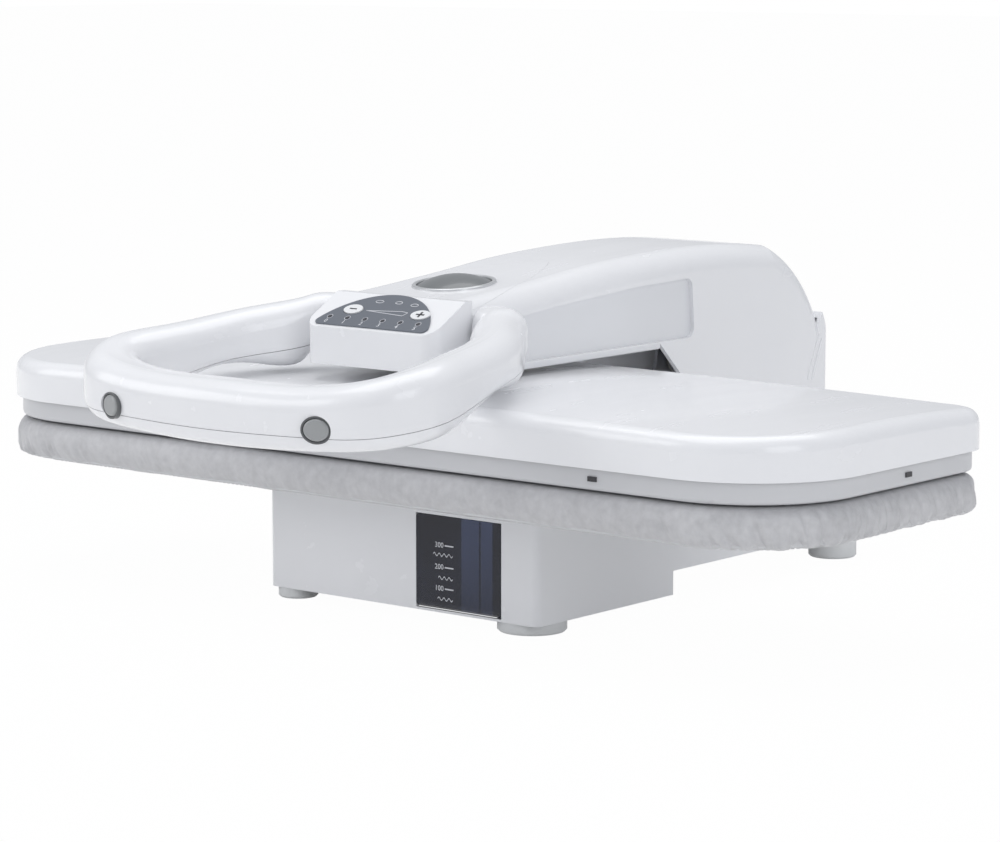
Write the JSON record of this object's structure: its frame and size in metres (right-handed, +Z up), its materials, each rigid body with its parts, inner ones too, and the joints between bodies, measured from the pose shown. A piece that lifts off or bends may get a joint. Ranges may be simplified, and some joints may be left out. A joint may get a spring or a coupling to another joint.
{
  "type": "steam ironing press",
  "caption": "Tabletop steam ironing press: padded board on a low base with a slide-out water tank, heated steam head on a rear-hinged arm with a D-shaped handle.",
  "frame": {"origin": "on the floor, in the middle of the press's plan box", "axes": "+X along the board to the right seen from the front, +Y to the hinge at the rear, +Z up"},
  "size_m": [0.64, 0.552, 0.212],
  "materials": {
    "aluminium": "cast aluminium, ground face",
    "bezel_silver": "silver-painted plastic",
    "board_green": "circuit board",
    "button_grey": "mid grey plastic",
    "cloth": "silver-grey metallised cotton",
    "dark_plastic": "black plastic",
    "dome_grey": "grey glossy plastic",
    "foam": "thick felt and foam",
    "foot_grey": "light grey rubber",
    "grey_rim": "satin light grey heat-proof plastic",
    "key_white": "white key",
    "label_blue": "dark blue-grey printed label",
    "led": "unlit indicator",
    "nylon": "natural nylon",
    "ring_dark": "dark grey plastic",
    "steel": "zinc-plated steel",
    "tank_clear": "clear plastic",
    "tank_smoke": "smoked clear plastic",
    "white_plastic": "gloss white moulded plastic"
  },
  "bodies": {
    "base": {"base_housing": "white_plastic", "base_front_cover": "white_plastic", "base_plate": "white_plastic", "rear_base_plate": "white_plastic", "front_feet": "foot_grey", "rear_feet": "foot_grey", "pump": "dark_plastic", "pump_hose": "nylon", "inlet_hose": "nylon", "power_board": "board_green", "cord_gland": "dark_plastic", "post_bracket": "steel", "hinge_bushes": "nylon", "lift_springs": "steel", "board_panel": "steel", "board_foam": "foam", "board_cloth": "cloth"},
    "tank": {"tank_body": "tank_clear", "tank_front": "tank_smoke", "tank_cap": "dark_plastic", "pickup_tube": "tank_clear"},
    "arm": {"arm_cover": "white_plastic", "control_fascia": "white_plastic", "arm_side_panel_left": "white_plastic", "arm_side_panel_right": "white_plastic", "arm_tray": "white_plastic", "tray_screws": "steel", "rear_cover": "white_plastic", "arm_frame": "steel", "hinge_shaft": "steel", "handle_upper": "white_plastic", "handle_lower": "white_plastic", "handle_core": "steel", "steam_rings": "ring_dark", "steam_switches": "dark_plastic", "control_nose": "white_plastic", "control_label": "label_blue", "indicator_lights": "led", "control_board": "board_green", "dome_bezel": "bezel_silver", "dome_switch": "dark_plastic"},
    "head": {"head_cover": "white_plastic", "heater_housing": "grey_rim", "head_cover_screws": "steel", "rim_clips": "dark_plastic", "heating_plate": "aluminium", "heating_element": "steel", "steam_chamber": "aluminium", "thermostat": "steel", "plate_pillars": "steel", "head_bracket": "steel", "guide_post_nuts": "steel", "pressure_springs": "steel"},
    "steam_button_left_body": {"steam_button_left": "button_grey"},
    "steam_button_right_body": {"steam_button_right": "button_grey"},
    "dome_body": {"dome_button": "dome_grey"},
    "minus_body": {"minus_key": "key_white"},
    "plus_body": {"plus_key": "key_white"}
  },
  "joints": [
    {"name": "arm_hinge", "type": "hinge", "parent": "base", "child": "arm", "pos_m": [0, 0.225, 0.125], "axis": [-1, 0, 0], "range_deg": [0, 36]},
    {"name": "head_travel", "type": "slide", "parent": "arm", "child": "head", "axis": [0, 0, 1], "range_m": [0, 0.003], "stiffness_N_per_m": 6000, "springref_m": -0.01, "deforming": ["pressure_springs"]},
    {"name": "steam_press_left", "type": "slide", "parent": "arm", "child": "steam_button_left_body", "axis": [0.2924, 0.9563, 0], "range_m": [0, 0.003], "stiffness_N_per_m": 300, "springref_m": -0.002},
    {"name": "steam_press_right", "type": "slide", "parent": "arm", "child": "steam_button_right_body", "axis": [-0.2924, 0.9563, 0], "range_m": [0, 0.003], "stiffness_N_per_m": 300, "springref_m": -0.002},
    {"name": "dome_press", "type": "slide", "parent": "arm", "child": "dome_body", "axis": [0, 0.0906, -0.9959], "range_m": [0, 0.003], "stiffness_N_per_m": 300, "springref_m": -0.002},
    {"name": "minus_press", "type": "slide", "parent": "arm", "child": "minus_body", "axis": [0, 0.4973, -0.8676], "range_m": [0, 0.0006], "stiffness_N_per_m": 400, "springref_m": -0.001},
    {"name": "plus_press", "type": "slide", "parent": "arm", "child": "plus_body", "axis": [0, 0.4973, -0.8676], "range_m": [0, 0.0006], "stiffness_N_per_m": 400, "springref_m": -0.001},
    {"name": "tank_slide", "type": "slide", "parent": "base", "child": "tank", "axis": [0, -1, 0], "range_m": [0, 0.14]}
  ]
}
